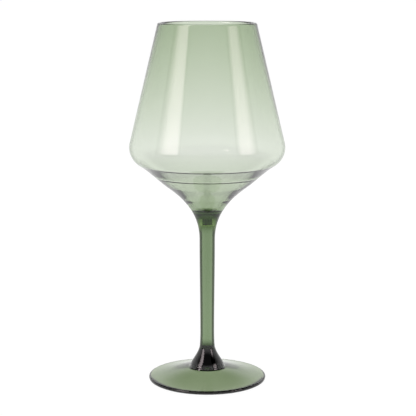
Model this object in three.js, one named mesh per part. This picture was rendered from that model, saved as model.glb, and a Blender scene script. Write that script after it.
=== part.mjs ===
// Stemmed wine glass in clear green-tinted moulded plastic, in three bonded pieces:
// a thin blown bowl, a solid moulded stem and a shallow dished foot.
// Millimetres, +Z up, origin on the table plane under the middle of the foot.
import * as THREE from 'three';

// ---- driving dimensions -------------------------------------------------------------------
const HEIGHT = 230;              // table to rim
const RIM_RADIUS = 31.4;         // outside of the lip
const BOWL_RADIUS = 49.5;        // widest outside radius of the bowl
const WIDEST_Z = 151.7;          // height of the widest ring
const SHOULDER_RADIUS = 12.9;    // outside rounding under the widest ring
const SHOULDER_TURN = 58;        // degrees that the shoulder turns below the widest ring
const NECK_RADIUS = 25.2;        // outside of the funnel where it starts to hollow
const NECK_Z = 126.2;
const NECK_SLOPE = 54;           // degrees from vertical at that ring
const NECK_PULL = 14.9;          // how far the flare holds its direction at each end
const STEM_PULL = 15.5;
const LIP_WALL = 2.8;            // wall at the lip, which thins towards the shoulder
const SHOULDER_WALL = 1.1;       // wall round the shoulder
const WEDGE = 3;                 // degrees by which the wall thickens below the shoulder
const CAVITY_Z = 112;            // deepest point of the inside
const CAVITY_RADIUS = 8;         // inside radius where the wedge rolls into the bottom

const BOND_Z = 106.5;            // flat ring where the bowl stands on the stem
const STEM_TOP_Z = 92;           // end of the flare under the bowl
const STEM_RADIUS = 4.95;        // stem just under the flare
const STEM_WAIST = 4.5;          // stem just above the foot
const WAIST_Z = 32;
const WAIST_PULL = 5;            // how far it holds upright below the waist
const TAPER_PULL = 20;           // how far the stem holds upright at each end of its taper
const FOOT_BOND_Z = 21;          // flat ring where the stem stands on the hub of the foot

const SPIGOT_RADIUS = 3.1;       // peg that centres each bond
const SOCKET_RADIUS = 3.4;       // blind hole that takes the peg
const TOP_SPIGOT = 4.2;          // length of the peg under the bowl
const LOWER_SPIGOT = 6;          // length of the peg under the stem
const SOCKET_ROOM = 0.4;         // room for adhesive at the end of each peg
const PIP_RADIUS = 1.1;          // witness of the moulding gate on each peg
const PIP_HEIGHT = 0.3;
const PIP_DRAFT = 0.8;           // radius of a pip at its tip, as a share of its base
const PEG_CHAMFER = 0.4;

const HUB_TOP_RADIUS = 5;        // hub where the stem stands on it
const HUB_RADIUS = 10.9;         // widest point of the hub, with a short step down to the plate
const HUB_Z = 9.2;
const PLATE_RADIUS = 11.6;       // where the top of the plate starts
const PLATE_Z = 7.8;
const FOOT_RADIUS = 37.9;        // outside of the plate
const FOOT_EDGE = 2.3;           // thickness at the edge of the plate
const EDGE_ROUND = 0.85;
const EDGE_TURN = 84;            // degrees of that rounding, from the side towards the top
const PLATE_PULL = 8;            // how far both faces of the plate hold their slope at each end
const HUB_FALL = 1.8;            // fall of the top face over that reach, beside the hub
const EDGE_FALL = 0.9;           // fall of both faces over it, beside the edge
const DISH_FALL = 1.2;           // fall of the underside over it, beside the dish
const REST_OUTER = 36.6;         // flat ring that the glass stands on
const REST_INNER = 34.2;
const DISH_RADIUS = 6;           // flat top of the dished underside
const DISH_Z = 6;
const GATE_RADIUS = 1.6;         // stub of the moulding gate, left on the underside
const GATE_DEPTH = 0.5;

const BOWL_SEGMENTS = 60;        // facets round each turned piece
const STEM_SEGMENTS = 36;
const FOOT_SEGMENTS = 60;

// ---- outline helpers ------------------------------------------------------------------------
const rad = THREE.MathUtils.degToRad;
const at = (r, z) => new THREE.Vector2(r, z);

// points of a circular arc from angle a0 to a1, in degrees, measured from +r towards +z
function arc(centre, radius, a0, a1, steps) {
  const points = [];
  for (let i = 0; i <= steps; i += 1) {
    const a = rad(a0 + ((a1 - a0) * i) / steps);
    points.push(at(centre.x + radius * Math.cos(a), centre.y + radius * Math.sin(a)));
  }
  return points;
}

// points of a smooth sweep that leaves p0 towards c0 and reaches p1 from c1
function sweep(p0, c0, c1, p1, steps) {
  return new THREE.CubicBezierCurve(p0, c0, c1, p1).getPoints(steps);
}

// a step of the given length along a slope, in degrees from straight down towards the axis
function downSlope(point, slope, length) {
  return at(point.x - length * Math.sin(rad(slope)), point.y - length * Math.cos(rad(slope)));
}

// drops points that repeat the one before
function outline(...runs) {
  const points = runs.flat();
  return points.filter((p, i) => i === 0 || p.distanceTo(points[i - 1]) > 1e-6);
}

// a closed profile, listed from the axis over the top and down the outside, turned about Z
function turned(name, points, segments, material) {
  const geometry = new THREE.LatheGeometry([...points].reverse(), segments);
  geometry.rotateX(Math.PI / 2);
  const mesh = new THREE.Mesh(geometry, material);
  mesh.name = name;
  return mesh;
}

// the peg below a bond, with its chamfered end and the witness of the moulding gate
function peg(bondZ, length) {
  const end = bondZ - length;
  return [
    at(SPIGOT_RADIUS, bondZ),
    at(SPIGOT_RADIUS, end + PEG_CHAMFER),
    at(SPIGOT_RADIUS - PEG_CHAMFER, end),
    at(PIP_RADIUS, end),
    at(PIP_RADIUS * PIP_DRAFT, end - PIP_HEIGHT),
    at(0, end - PIP_HEIGHT),
  ];
}

// the blind socket that takes a peg, from its floor up to the bond
function socket(bondZ, length) {
  const floor = bondZ - length - PIP_HEIGHT - SOCKET_ROOM;
  return [at(0, floor), at(SOCKET_RADIUS, floor), at(SOCKET_RADIUS, bondZ)];
}

function tintedPlastic(colour, roughness) {
  return new THREE.MeshStandardMaterial({
    color: colour,
    roughness,
    metalness: 0,
    transparent: true,
    opacity: 0.55,
  });
}

// ---- outside of bowl and stem top, one continuous line from the lip to the stem --------------
const shoulderCentre = at(BOWL_RADIUS - SHOULDER_RADIUS, WIDEST_Z);
const lipOuter = at(RIM_RADIUS, HEIGHT - LIP_WALL / 2);

// angle at which a straight wall from the lip meets an arc about the shoulder centre
function wallAngle(lip, radius) {
  const reach = lip.distanceTo(shoulderCentre);
  const lean = Math.atan2(shoulderCentre.y - lip.y, shoulderCentre.x - lip.x);
  return THREE.MathUtils.radToDeg(lean + Math.asin(radius / reach)) + 90;
}

const shoulder = arc(
  shoulderCentre, SHOULDER_RADIUS, wallAngle(lipOuter, SHOULDER_RADIUS), -SHOULDER_TURN, 8,
);
const shoulderEnd = shoulder[shoulder.length - 1];
const neck = at(NECK_RADIUS, NECK_Z);
const funnelPull = shoulderEnd.distanceTo(neck) / 3;
const funnel = sweep(
  shoulderEnd,
  downSlope(shoulderEnd, SHOULDER_TURN, funnelPull),
  downSlope(neck, NECK_SLOPE, -funnelPull),
  neck,
  4,
);
const stemTop = at(STEM_RADIUS, STEM_TOP_Z);
const flare = new THREE.CubicBezierCurve(
  neck, downSlope(neck, NECK_SLOPE, NECK_PULL), at(STEM_RADIUS, STEM_TOP_Z + STEM_PULL), stemTop,
);

// the flare is cut by the bond plane: the parameter where it crosses BOND_Z, by bisection
function crossing(curve, z) {
  let low = 0;
  let high = 1;
  for (let i = 0; i < 40; i += 1) {
    const middle = (low + high) / 2;
    if (curve.getPoint(middle).y > z) low = middle;
    else high = middle;
  }
  return (low + high) / 2;
}

const bondAt = crossing(flare, BOND_Z);

function flareBetween(from, to, steps) {
  const points = [];
  for (let i = 0; i <= steps; i += 1) points.push(flare.getPoint(from + ((to - from) * i) / steps));
  return points;
}

// ---- bowl -------------------------------------------------------------------------------------
// the inner line of the funnel: each outside point moved in by a wall that grows along the way
function wedgeInside(outside) {
  let run = 0;
  return outside.map((point, i) => {
    const before = outside[Math.max(i - 1, 0)];
    const after = outside[Math.min(i + 1, outside.length - 1)];
    run += point.distanceTo(before);
    const wall = SHOULDER_WALL + run * Math.tan(rad(WEDGE));
    const along = after.clone().sub(before).normalize();
    return at(point.x + along.y * wall, point.y - along.x * wall);
  });
}

function makeBowl() {
  const lipInner = at(RIM_RADIUS - LIP_WALL, lipOuter.y);
  const lipMiddle = at(RIM_RADIUS - LIP_WALL / 2, lipOuter.y);
  const lip = arc(lipMiddle, LIP_WALL / 2, 180, 0, 6);

  const insideRadius = SHOULDER_RADIUS - SHOULDER_WALL;
  const insideShoulder = arc(
    shoulderCentre, insideRadius, -SHOULDER_TURN, wallAngle(lipInner, insideRadius), 8,
  );

  // below the shoulder the inside follows the outside, falling away from it by the wedge
  const outside = outline(funnel, flareBetween(0, bondAt, 7));
  const funnelInside = wedgeInside(outside).slice(1).filter((p) => p.x > CAVITY_RADIUS);
  const [beforeLast, last] = funnelInside.slice(-2);
  const cavityFloor = at(0, CAVITY_Z);
  const pull = last.distanceTo(cavityFloor) / 2;
  const lead = last.clone().sub(beforeLast).setLength(pull).add(last);
  const bottom = sweep(last, lead, at(last.x / 2, CAVITY_Z), cavityFloor, 5);

  const inside = [...funnelInside, ...bottom].reverse();
    return turned('bowl', outline(
    inside,
    insideShoulder,
    lip,
    shoulder,
    outside,
    peg(BOND_Z, TOP_SPIGOT),
  ), BOWL_SEGMENTS, tintedPlastic('#a9b79b', 0.06));
}

// ---- stem -------------------------------------------------------------------------------------
function makeStem() {
  const waist = at(STEM_WAIST, WAIST_Z);
  const taper = sweep(
    stemTop, at(STEM_RADIUS, STEM_TOP_Z - TAPER_PULL), at(STEM_WAIST, WAIST_Z + TAPER_PULL), waist, 3,
  );
  return turned('stem', outline(
    socket(BOND_Z, TOP_SPIGOT),
    flareBetween(bondAt, 1, 6),
    taper,
    stemFoot,
    peg(FOOT_BOND_Z, LOWER_SPIGOT),
  ), STEM_SEGMENTS, tintedPlastic('#8c9e7f', 0.06));
}

// ---- foot -------------------------------------------------------------------------------------
// the hub flares out of the stem down to the plate: its first stretch belongs to the stem;
// the pulls are the points that bend each stretch of its outline, and underEdge the lower corner
const hubBond = at(HUB_TOP_RADIUS, FOOT_BOND_Z);
const hubMiddle = at(9.4, 12.4);
const hubTopPull = at(4.7, 22.8);
const flarePulls = [at(5.9, 17.6), at(7.9, 14.8)];
const bulgePulls = [at(10.3, 11.1), at(10.6, 9.8)];
const stepPulls = [at(11.0, 8.6), at(11.15, 8.0)];
const underEdge = [at(37.7, 0.6), at(37.1, 0.12)];
const stemFoot = sweep(
  at(STEM_WAIST, WAIST_Z), at(STEM_WAIST, WAIST_Z - WAIST_PULL), hubTopPull, hubBond, 4,
);

function makeFoot() {
  const hub = sweep(hubBond, ...flarePulls, hubMiddle, 4);
  const hubBase = at(HUB_RADIUS, HUB_Z);
  const hubSide = sweep(hubMiddle, ...bulgePulls, hubBase, 2);
  const plateStart = at(PLATE_RADIUS, PLATE_Z);
  const step = sweep(hubBase, ...stepPulls, plateStart, 3);
  const plateEnd = at(FOOT_RADIUS - EDGE_ROUND, FOOT_EDGE);
  const plate = sweep(
    plateStart,
    at(PLATE_RADIUS + PLATE_PULL, PLATE_Z - HUB_FALL),
    at(plateEnd.x - PLATE_PULL, FOOT_EDGE + EDGE_FALL),
    plateEnd,
    6,
  );
  const edge = arc(at(plateEnd.x, FOOT_EDGE - EDGE_ROUND), EDGE_ROUND, EDGE_TURN, 0, 3);
  const rise = sweep(
    at(REST_INNER, 0),
    at(REST_INNER - PLATE_PULL, EDGE_FALL),
    at(DISH_RADIUS + PLATE_PULL, DISH_Z - DISH_FALL),
    at(DISH_RADIUS, DISH_Z),
    6,
  );
  return turned('foot', outline(
    socket(FOOT_BOND_Z, LOWER_SPIGOT),
    hub,
    hubSide,
    step,
    plate,
    edge,
    underEdge,
    [at(REST_OUTER, 0)],
    rise,
    [
      at(GATE_RADIUS, DISH_Z),
      at(GATE_RADIUS * PIP_DRAFT, DISH_Z - GATE_DEPTH),
      at(0, DISH_Z - GATE_DEPTH),
    ],
  ), FOOT_SEGMENTS, tintedPlastic('#98a78a', 0.06));
}

const glass = new THREE.Group();
glass.name = 'wine_glass';
glass.add(makeBowl(), makeStem(), makeFoot());

export default glass;
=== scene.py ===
import math
import bpy
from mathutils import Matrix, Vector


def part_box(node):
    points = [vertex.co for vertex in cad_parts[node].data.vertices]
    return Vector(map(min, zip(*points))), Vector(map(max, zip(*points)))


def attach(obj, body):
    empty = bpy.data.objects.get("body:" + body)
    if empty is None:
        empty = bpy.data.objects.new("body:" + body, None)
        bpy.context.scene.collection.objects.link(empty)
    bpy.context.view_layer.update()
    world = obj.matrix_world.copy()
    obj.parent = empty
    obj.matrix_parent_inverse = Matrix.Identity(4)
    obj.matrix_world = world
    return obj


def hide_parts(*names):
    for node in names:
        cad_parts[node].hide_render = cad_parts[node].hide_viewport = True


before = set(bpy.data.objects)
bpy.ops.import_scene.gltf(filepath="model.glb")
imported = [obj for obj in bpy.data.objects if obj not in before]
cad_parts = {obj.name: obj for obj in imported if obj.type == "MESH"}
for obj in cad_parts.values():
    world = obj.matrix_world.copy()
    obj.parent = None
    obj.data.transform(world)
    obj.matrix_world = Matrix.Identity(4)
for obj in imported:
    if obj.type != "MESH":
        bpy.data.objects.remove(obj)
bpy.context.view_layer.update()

# ---- bowl -----------------------------------------------------------------------------------
# Blown from a moulded blank, so the wall is thickest at the lip and thins as it widens. Under the
# shoulder it thickens again, past a faint stretch ring, down to the solid bottom that was never
# blown. It stands on the stem by a short peg. Lengths are in millimetres.
MM = 0.001
LIP_WALL = 2.8
SHOULDER_WALL = 0.8
FUNNEL_WALL = [                  # way down the funnel, and the wall there
    (0.0, 0.8), (1.0, 0.96), (11.6, 1.50), (12.6, 1.40), (13.8, 1.60), (24.0, 1.84), (36.0, 2.4),
    (60.0, 4.2),
]
RIM_RADIUS = 31.4
BOWL_RADIUS = 49.5
WIDEST_Z = 151.7
SHOULDER_RADIUS = 12.9
SHOULDER_TURN = 58
NECK = (25.2, 126.2)
NECK_SLOPE = 54
NECK_PULL = 14.9
STEM_PULL = 15.5
STEM_TOP = (4.95, 92.0)
BOND_Z = 106.5
CAVITY_Z = 112.5
CAVITY_CLOSE = 8.0
PEG_RADIUS = 3.1
PEG_LENGTH = 4.2
PEG_CHAMFER = 0.4
WELD = 0.02
TURN_STEPS = 240
# painted shade: the bowl's colour darkens to deep green at its last edge, where the surface turns away
# from the view
BOWL_PAINTED_EDGE_SHADE = (0.70, 0.96, (0.06, 0.18, 0.005))
BOWL_WAVE = (60.0, 0.02)
BOWL_TINT = (168, 132, 200)
# painted shade: the solid bottom of the bowl and its peg are darkened below about 110 mm
BOWL_PAINTED_SHADES = [(110.5, 107.5, (0.3, 0.42, 0.12))]


def arc(centre, radius, start, stop, steps):
    points = []
    for i in range(steps + 1):
        a = math.radians(start + (stop - start) * i / steps)
        points.append((centre[0] + radius * math.cos(a), centre[1] + radius * math.sin(a)))
    return points


def sweep(p0, c0, c1, p1, steps):
    points = []
    for i in range(steps + 1):
        t = i / steps
        u = 1 - t
        weights = (u * u * u, 3 * u * u * t, 3 * u * t * t, t * t * t)
        points.append(tuple(sum(w * p[k] for w, p in zip(weights, (p0, c0, c1, p1))) for k in (0, 1)))
    return points


def down(point, slope, length):
    a = math.radians(slope)
    return (point[0] - length * math.sin(a), point[1] - length * math.cos(a))


def turned(name, outline):
    rings = []
    verts = []
    faces = []
    last = None
    for r, z in outline:
        if last is not None and math.hypot(r - last[0], z - last[1]) < 1e-5:
            continue
        last = (r, z)
        start = len(verts)
        if r < 1e-6:
            verts.append((0.0, 0.0, z * MM))
            rings.append([start])
            continue
        for k in range(TURN_STEPS):
            a = 2 * math.pi * k / TURN_STEPS
            verts.append((r * MM * math.cos(a), r * MM * math.sin(a), z * MM))
        rings.append(list(range(start, start + TURN_STEPS)))
    for upper, lower in zip(rings, rings[1:]):
        for k in range(TURN_STEPS):
            n = (k + 1) % TURN_STEPS
            if len(upper) == 1:
                faces.append((upper[0], lower[k], lower[n]))
            elif len(lower) == 1:
                faces.append((upper[k], lower[0], upper[n]))
            else:
                faces.append((upper[k], lower[k], lower[n], upper[n]))
    mesh = bpy.data.meshes.new(name)
    mesh.from_pydata(verts, [], faces)
    mesh.validate()
    mesh.polygons.foreach_set("use_smooth", [True] * len(mesh.polygons))
    mesh.set_sharp_from_angle(angle=math.radians(32))
    piece = bpy.data.objects.new(name, mesh)
    bpy.context.scene.collection.objects.link(piece)
    return piece


# clear plastic tinted through its thickness, with painted shade in its colour: the edge look is from, to
# and tone of a painted shade where the surface turns away from the view, wave is the size and strength
# of the flow marks, each shade is a painted shade from, to (mm) up the height and its tone, and the rim
# shade is a painted shade from, to (mm) out from the axis and its tone
def tinted_plastic(name, painted_edge_shade, wave, tint_per_m, painted_shades=(), painted_rim_shade=None):
    edge_from, edge_to, edge_shade_tone = painted_edge_shade
    material = bpy.data.materials.new(name)
    material.use_nodes = True
    nodes = material.node_tree.nodes
    links = material.node_tree.links
    shader = nodes["Principled BSDF"]
    shader.inputs["Transmission Weight"].default_value = 1.0
    shader.inputs["IOR"].default_value = 1.5
    # painted shade: the colour darkens towards the edge tone as the surface turns away from the view
    weight = nodes.new("ShaderNodeLayerWeight")
    weight.inputs["Blend"].default_value = 0.5
    ramp = nodes.new("ShaderNodeMapRange")
    ramp.interpolation_type = "SMOOTHSTEP"
    ramp.inputs["From Min"].default_value = edge_from
    ramp.inputs["From Max"].default_value = edge_to
    links.new(weight.outputs["Facing"], ramp.inputs["Value"])
    tone = nodes.new("ShaderNodeMix")
    tone.data_type = "RGBA"
    tone.inputs[6].default_value = (1, 1, 1, 1)
    tone.inputs[7].default_value = (*edge_shade_tone, 1)
    links.new(ramp.outputs["Result"], tone.inputs[0])
    place = nodes.new("ShaderNodeTexCoord")
    colour = tone.outputs[2]
    split = nodes.new("ShaderNodeSeparateXYZ")
    links.new(place.outputs["Object"], split.inputs[0])
    # painted shade: darker colour over each given height range
    for clear_z, full_z, shade in painted_shades:
        along_z = nodes.new("ShaderNodeMapRange")
        along_z.interpolation_type = "SMOOTHSTEP"
        along_z.inputs["From Min"].default_value = clear_z * MM
        along_z.inputs["From Max"].default_value = full_z * MM
        links.new(split.outputs["Z"], along_z.inputs["Value"])
        painted_shade_mix = nodes.new("ShaderNodeMix")
        painted_shade_mix.data_type = "RGBA"
        links.new(along_z.outputs["Result"], painted_shade_mix.inputs[0])
        links.new(colour, painted_shade_mix.inputs[6])
        painted_shade_mix.inputs[7].default_value = (*shade, 1)
        colour = painted_shade_mix.outputs[2]
    # painted shade: darker colour in a ring out from the axis
    if painted_rim_shade:
        flat = nodes.new("ShaderNodeVectorMath")
        flat.operation = "MULTIPLY"
        flat.inputs[1].default_value = (1, 1, 0)
        links.new(place.outputs["Object"], flat.inputs[0])
        out_from_axis = nodes.new("ShaderNodeVectorMath")
        out_from_axis.operation = "LENGTH"
        links.new(flat.outputs[0], out_from_axis.inputs[0])
        outward = nodes.new("ShaderNodeMapRange")
        outward.interpolation_type = "SMOOTHSTEP"
        outward.inputs["From Min"].default_value = painted_rim_shade[0] * MM
        outward.inputs["From Max"].default_value = painted_rim_shade[1] * MM
        links.new(out_from_axis.outputs["Value"], outward.inputs["Value"])
        painted_rim_mix = nodes.new("ShaderNodeMix")
        painted_rim_mix.data_type = "RGBA"
        links.new(outward.outputs["Result"], painted_rim_mix.inputs[0])
        links.new(colour, painted_rim_mix.inputs[6])
        painted_rim_mix.inputs[7].default_value = (*painted_rim_shade[2], 1)
        colour = painted_rim_mix.outputs[2]
    links.new(colour, shader.inputs["Base Color"])
    flow = nodes.new("ShaderNodeTexNoise")
    flow.inputs["Scale"].default_value = wave[0]
    flow.inputs["Detail"].default_value = 2.0
    links.new(place.outputs["Object"], flow.inputs["Vector"])
    bump = nodes.new("ShaderNodeBump")
    bump.inputs["Strength"].default_value = wave[1]
    bump.inputs["Distance"].default_value = 0.001
    links.new(flow.outputs["Fac"], bump.inputs["Height"])
    links.new(bump.outputs["Normal"], shader.inputs["Normal"])
    polish = nodes.new("ShaderNodeMapRange")
    polish.inputs["To Min"].default_value = 0.0
    polish.inputs["To Max"].default_value = 0.02
    links.new(flow.outputs["Fac"], polish.inputs["Value"])
    links.new(polish.outputs["Result"], shader.inputs["Roughness"])
    tint = nodes.new("ShaderNodeVolumeAbsorption")
    density = max(tint_per_m)
    tint.inputs["Density"].default_value = density
    tint.inputs["Color"].default_value = (*(1 - part / density for part in tint_per_m), 1)
    links.new(tint.outputs["Volume"], nodes["Material Output"].inputs["Volume"])
    return material


shoulder_centre = (BOWL_RADIUS - SHOULDER_RADIUS, WIDEST_Z)
rim_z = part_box("bowl")[1][2] / MM
lip_z = rim_z - LIP_WALL / 2


def wall_angle(lip_radius, radius):
    across = shoulder_centre[0] - lip_radius
    fall = WIDEST_Z - lip_z
    return math.degrees(math.atan2(fall, across) + math.asin(radius / math.hypot(across, fall))) + 90


shoulder = arc(
    shoulder_centre, SHOULDER_RADIUS, wall_angle(RIM_RADIUS, SHOULDER_RADIUS), -SHOULDER_TURN, 28
)
pull = math.dist(shoulder[-1], NECK) / 3
funnel = sweep(
    shoulder[-1], down(shoulder[-1], SHOULDER_TURN, pull), down(NECK, NECK_SLOPE, -pull), NECK, 70
)
flare = sweep(
    NECK, down(NECK, NECK_SLOPE, NECK_PULL), (STEM_TOP[0], STEM_TOP[1] + STEM_PULL), STEM_TOP, 160
)
bowl_flare = [p for p in flare if p[1] > BOND_Z]
stem_flare = [p for p in flare if p[1] <= BOND_Z]
upper, lower = bowl_flare[-1], stem_flare[0]
share = (upper[1] - BOND_Z) / (upper[1] - lower[1])
bond_radius = upper[0] + (lower[0] - upper[0]) * share


def wall_inside(outside, wall_at):
    inside = []
    run = 0.0
    for i, point in enumerate(outside):
        before = outside[max(i - 1, 0)]
        after = outside[min(i + 1, len(outside) - 1)]
        step = (after[0] - before[0], after[1] - before[1])
        size = math.hypot(*step)
        if i:
            run += math.dist(point, outside[i - 1])
        wall = wall_at(run)
        inside.append((point[0] + step[1] / size * wall, point[1] - step[0] / size * wall))
    return inside


def funnel_wall(run):
    for (start, wall), (stop, next_wall) in zip(FUNNEL_WALL, FUNNEL_WALL[1:]):
        if run <= stop:
            return wall + (next_wall - wall) * (run - start) / (stop - start)
    return FUNNEL_WALL[-1][1]


funnel_inside = [p for p in wall_inside(funnel + bowl_flare[1:], funnel_wall)[1:] if p[0] > CAVITY_CLOSE]
end, before_end = funnel_inside[-1], funnel_inside[-2]
reach = math.hypot(end[0], end[1] - CAVITY_Z) * 0.5
along = math.dist(end, before_end)
lead = (
    end[0] + (end[0] - before_end[0]) / along * reach,
    end[1] + (end[1] - before_end[1]) / along * reach,
)
cavity_bottom = sweep(end, lead, (end[0] * 0.72, CAVITY_Z), (0.0, CAVITY_Z), 24)
inside_radius = SHOULDER_RADIUS - SHOULDER_WALL
inside_shoulder = arc(
    shoulder_centre, inside_radius, -SHOULDER_TURN, wall_angle(RIM_RADIUS - LIP_WALL, inside_radius), 28
)
lip = arc((RIM_RADIUS - LIP_WALL / 2, lip_z), LIP_WALL / 2, 180, 0, 12)
peg_end = BOND_Z - PEG_LENGTH
bowl = turned(
    "bowl_blown",
    (funnel_inside + cavity_bottom[1:])[::-1]
    + inside_shoulder
    + lip
    + shoulder
    + funnel
    + bowl_flare
    + [(bond_radius, BOND_Z), (PEG_RADIUS, BOND_Z), (PEG_RADIUS, peg_end + PEG_CHAMFER)]
    + [(PEG_RADIUS - PEG_CHAMFER, peg_end), (0.0, peg_end)],
)
bowl.data.materials.append(
    tinted_plastic("bowl_plastic", BOWL_PAINTED_EDGE_SHADE, BOWL_WAVE, BOWL_TINT, BOWL_PAINTED_SHADES)
)
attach(bowl, "root")
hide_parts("bowl")

# ---- stem -----------------------------------------------------------------------------------
# A solid injection moulding that tapers slightly to a waist above the foot. Its top is a blind
# socket for the bowl's peg, and its own peg goes down into the hub of the foot.
SOCKET_RADIUS = 3.4
SOCKET_ROOM = 0.7
WAIST = (4.5, 32.0)
HUB_TOP = (5.0, 21.0)
FOOT_PEG = 6.0
TAPER_PULL = 20.0
WAIST_PULL = 5.0
HUB_TOP_PULL = (4.7, 22.8)
# painted shade: the stem's sides go nearly black where the surface turns away from the view
STEM_PAINTED_EDGE_SHADE = (0.18, 0.34, (0.02, 0.03, 0.01))
STEM_WAVE = (50.0, 0.02)
STEM_TINT = (181, 142, 212)
# painted shade: the top of the stem and its lower end above the hub are darkened
STEM_PAINTED_SHADES = [(97.0, 103.0, (0.5, 0.62, 0.28)), (26.0, 21.0, (0.10, 0.14, 0.06))]

socket_floor = peg_end - SOCKET_ROOM
taper = sweep(
    STEM_TOP, (STEM_TOP[0], STEM_TOP[1] - TAPER_PULL), (WAIST[0], WAIST[1] + TAPER_PULL), WAIST, 12
)
stem_foot = sweep(WAIST, (WAIST[0], WAIST[1] - WAIST_PULL), HUB_TOP_PULL, HUB_TOP, 8)
foot_peg_end = HUB_TOP[1] - FOOT_PEG
stem = turned(
    "stem_moulded",
    [(0.0, socket_floor), (SOCKET_RADIUS, socket_floor), (SOCKET_RADIUS, BOND_Z + WELD)]
    + [(bond_radius, BOND_Z + WELD)]
    + stem_flare
    + taper[1:]
    + stem_foot[1:]
    + [(PEG_RADIUS, HUB_TOP[1]), (PEG_RADIUS, foot_peg_end + PEG_CHAMFER)]
    + [(PEG_RADIUS - PEG_CHAMFER, foot_peg_end), (0.0, foot_peg_end)],
)
stem.data.materials.append(
    tinted_plastic("stem_plastic", STEM_PAINTED_EDGE_SHADE, STEM_WAVE, STEM_TINT, STEM_PAINTED_SHADES)
)
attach(stem, "root")
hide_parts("stem")

# ---- foot -----------------------------------------------------------------------------------
# A dished round plate moulded with a flared hub. It stands on a narrow flat ring under its edge,
# and the middle of the underside carries the round witness of the moulding gate.
FOOT_RADIUS = 37.9
FOOT_EDGE = 2.3
EDGE_ROUND = 0.85
EDGE_TURN = 84
HUB_FLARE = ((5.9, 17.6), (7.9, 14.8))
HUB_MIDDLE = (9.4, 12.4)
HUB_BULGE = ((10.3, 11.1), (10.6, 9.8))
STEP_PULLS = ((11.0, 8.6), (11.15, 8.0))
PLATE_PULL = 8.0
HUB_FALL = 1.3
EDGE_FALL = 0.9
DISH_FALL = 1.5
UNDER_EDGE = [(37.7, 0.6), (37.1, 0.12)]
HUB_BASE = (10.9, 9.2)
PLATE_START = (11.6, 7.8)
REST_OUTER = 36.6
REST_INNER = 34.2
DISH = (6.0, 6.0)
GATE_MARK = [(1.6, 6.2), (1.4, 5.5), (0.0, 5.5)]
# painted shade: the foot darkens a little at its last grazing edge
FOOT_PAINTED_EDGE_SHADE = (0.96, 1.0, (0.2, 0.3, 0.15))
FOOT_WAVE = (50.0, 0.01)
FOOT_TINT = (370, 300, 450)
# painted shade: the whole hub above about 10 mm is nearly black
FOOT_PAINTED_SHADES = [(9.6, 10.6, (0.01, 0.03, 0.002))]
# painted shade: a nearly black green ring round the foot's outer edge
FOOT_RIM_PAINTED_SHADE = (37.1, 37.5, (0.02, 0.07, 0.005))

foot_socket_floor = foot_peg_end - SOCKET_ROOM
hub = sweep(HUB_TOP, *HUB_FLARE, HUB_MIDDLE, 10)
hub_side = sweep(HUB_MIDDLE, *HUB_BULGE, HUB_BASE, 6)
step = sweep(HUB_BASE, *STEP_PULLS, PLATE_START, 8)
plate_end = (FOOT_RADIUS - EDGE_ROUND, FOOT_EDGE)
plate = sweep(
    PLATE_START, (PLATE_START[0] + PLATE_PULL, PLATE_START[1] - HUB_FALL),
    (plate_end[0] - PLATE_PULL, plate_end[1] + EDGE_FALL), plate_end, 16,
)
edge = arc((plate_end[0], FOOT_EDGE - EDGE_ROUND), EDGE_ROUND, EDGE_TURN, 0, 8)
rise = sweep(
    (REST_INNER, 0.0), (REST_INNER - PLATE_PULL, EDGE_FALL),
    (DISH[0] + PLATE_PULL, DISH[1] - DISH_FALL), DISH, 20,
)
foot = turned(
    "foot_plate",
    [(0.0, foot_socket_floor), (SOCKET_RADIUS, foot_socket_floor), (SOCKET_RADIUS, HUB_TOP[1] + WELD)]
    + [(HUB_TOP[0], HUB_TOP[1] + WELD)]
    + hub
    + hub_side[1:]
    + step[1:]
    + plate[1:]
    + edge
    + UNDER_EDGE
    + [(REST_OUTER, 0.0)]
    + rise
    + GATE_MARK,
)
foot.data.materials.append(tinted_plastic(
    "foot_plastic", FOOT_PAINTED_EDGE_SHADE, FOOT_WAVE, FOOT_TINT, FOOT_PAINTED_SHADES, FOOT_RIM_PAINTED_SHADE
))
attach(foot, "root")
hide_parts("foot")

# ---- floor ----------------------------------------------------------------------------------
# A pale table top that glows evenly, wide enough to run past every view. It is the same white
# from every side, whether seen straight, through the glass or mirrored in it.
FLOOR_RADIUS = 14.0
FLOOR_DROP = 0.0002
FLOOR_TONE = (0.12, 0.12, 0.12, 1)
FLOOR_GLOW = 0.97

bpy.ops.mesh.primitive_circle_add(vertices=96, radius=FLOOR_RADIUS, fill_type="NGON")
floor = bpy.context.object
floor.name = "floor"
floor.location.z = -FLOOR_DROP
floor_paint = bpy.data.materials.new("floor_paint")
floor_paint.use_nodes = True
paint = floor_paint.node_tree.nodes["Principled BSDF"]
paint.inputs["Base Color"].default_value = FLOOR_TONE
paint.inputs["Roughness"].default_value = 1.0
paint.inputs["Specular IOR Level"].default_value = 0.0
paint.inputs["Emission Color"].default_value = (1, 1, 1, 1)
paint.inputs["Emission Strength"].default_value = FLOOR_GLOW
floor.data.materials.append(floor_paint)

# ---- light ----------------------------------------------------------------------------------
# A white surround, the same all the way round, that fades to a dim ceiling. Two tall soft boxes
# in front make the long highlights, and a broad lamp overhead lights the floor softly.
SURROUND_FADE = (math.sin(math.radians(20)), math.sin(math.radians(40)))
SURROUND_LEVEL = 1.0
CEILING_LEVEL = 0.1
BOX_DISTANCE = 1.2
BOX_HEIGHT = 2.6
BOX_TONE = (1.0, 0.88, 0.9, 1)
LEFT_BOX = (-59.5, 0.9, 5.6)      # degrees round from the front, width, strength
RIGHT_BOX = (61, 0.8, 4.6)
LEFT_FADES = (("X", -0.45, 0.05), ("X", 0.45, 0.28), ("Z", 0.0, 0.3))
RIGHT_FADES = (("X", 0.4, 0.05), ("X", -0.4, -0.16), ("Z", 0.0, 0.3), ("Z", 1.0, 0.5))
LAMP_SIZE = 1.5
LAMP_POWER = 6
LAMP_PLACE = (0, 0, 2.0)


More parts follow.
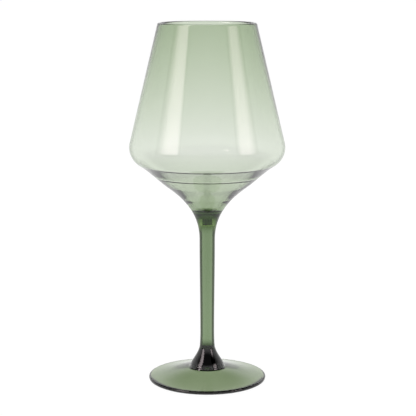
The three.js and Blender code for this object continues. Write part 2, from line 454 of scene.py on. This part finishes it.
def ranged(nodes, links, value, low, high, at_low, at_high):
    step = nodes.new("ShaderNodeMapRange")
    step.interpolation_type = "SMOOTHSTEP"
    step.inputs["From Min"].default_value = low
    step.inputs["From Max"].default_value = high
    step.inputs["To Min"].default_value = at_low
    step.inputs["To Max"].default_value = at_high
    links.new(value, step.inputs["Value"])
    return step.outputs["Result"]


def soft_box(name, turn, width, strength, edges):
    mesh = bpy.data.meshes.new(name)
    half = width / 2
    mesh.from_pydata(
        [(-half, 0, 0), (half, 0, 0), (half, 0, BOX_HEIGHT), (-half, 0, BOX_HEIGHT)],
        [], [(0, 1, 2, 3)],
    )
    box = bpy.data.objects.new(name, mesh)
    bpy.context.scene.collection.objects.link(box)
    a = math.radians(turn)
    box.location = (BOX_DISTANCE * math.sin(a), -BOX_DISTANCE * math.cos(a), 0)
    box.rotation_euler = (0, 0, a)
    cloth = bpy.data.materials.new(name)
    cloth.use_nodes = True
    nodes = cloth.node_tree.nodes
    links = cloth.node_tree.links
    nodes.remove(nodes["Principled BSDF"])
    place = nodes.new("ShaderNodeTexCoord")
    split = nodes.new("ShaderNodeSeparateXYZ")
    links.new(place.outputs["Object"], split.inputs[0])
    glow = nodes.new("ShaderNodeEmission")
    glow.inputs["Color"].default_value = BOX_TONE
    level = None
    for axis, start, stop in edges:
        fade = ranged(nodes, links, split.outputs[axis], start, stop, 0.0, 1.0)
        product = nodes.new("ShaderNodeMath")
        product.operation = "MULTIPLY"
        links.new(fade, product.inputs[0])
        product.inputs[1].default_value = strength
        if level:
            links.new(level, product.inputs[1])
        level = product.outputs[0]
    links.new(level, glow.inputs["Strength"])
    links.new(glow.outputs[0], nodes["Material Output"].inputs["Surface"])
    mesh.materials.append(cloth)
    box.visible_camera = False
    box.visible_diffuse = False
    box.visible_transmission = False


world = bpy.data.worlds.new("studio")
bpy.context.scene.world = world
world.use_nodes = True
nodes = world.node_tree.nodes
links = world.node_tree.links
place = nodes.new("ShaderNodeTexCoord")
split = nodes.new("ShaderNodeSeparateXYZ")
links.new(place.outputs["Generated"], split.inputs[0])
surround = ranged(nodes, links, split.outputs["Z"], *SURROUND_FADE, SURROUND_LEVEL, CEILING_LEVEL)
links.new(surround, nodes["Background"].inputs["Strength"])
nodes["Background"].inputs["Color"].default_value = (1, 1, 1, 1)

soft_box("left_box", *LEFT_BOX, LEFT_FADES)
soft_box("right_box", *RIGHT_BOX, RIGHT_FADES)
sky = bpy.data.lights.new("overhead", "AREA")
sky.size = LAMP_SIZE
sky.energy = LAMP_POWER
overhead = bpy.data.objects.new("overhead", sky)
bpy.context.scene.collection.objects.link(overhead)
overhead.location = LAMP_PLACE
overhead.visible_camera = False
overhead.visible_transmission = False
overhead.visible_glossy = False

# ---- camera ---------------------------------------------------------------------------------
# Stands in front of the glass, a little above the rim, tipped down by about ten degrees. A long
# lens keeps the sides of the glass nearly parallel.
CAMERA_PLACE = (0.0005, -0.8554, 0.2616)
CAMERA_TIP = 9.89
CAMERA_LENS = 117.6
SENSOR_WIDTH = 36
camera = bpy.data.objects.new("camera", bpy.data.cameras.new("camera"))
bpy.context.scene.collection.objects.link(camera)
camera.location = CAMERA_PLACE
camera.rotation_euler = (math.radians(90 - CAMERA_TIP), 0, 0)
camera.data.lens = CAMERA_LENS
camera.data.sensor_width = SENSOR_WIDTH
camera.data.clip_start = 0.05
bpy.context.scene.camera = camera
bpy.context.scene.view_settings.view_transform = "Standard"
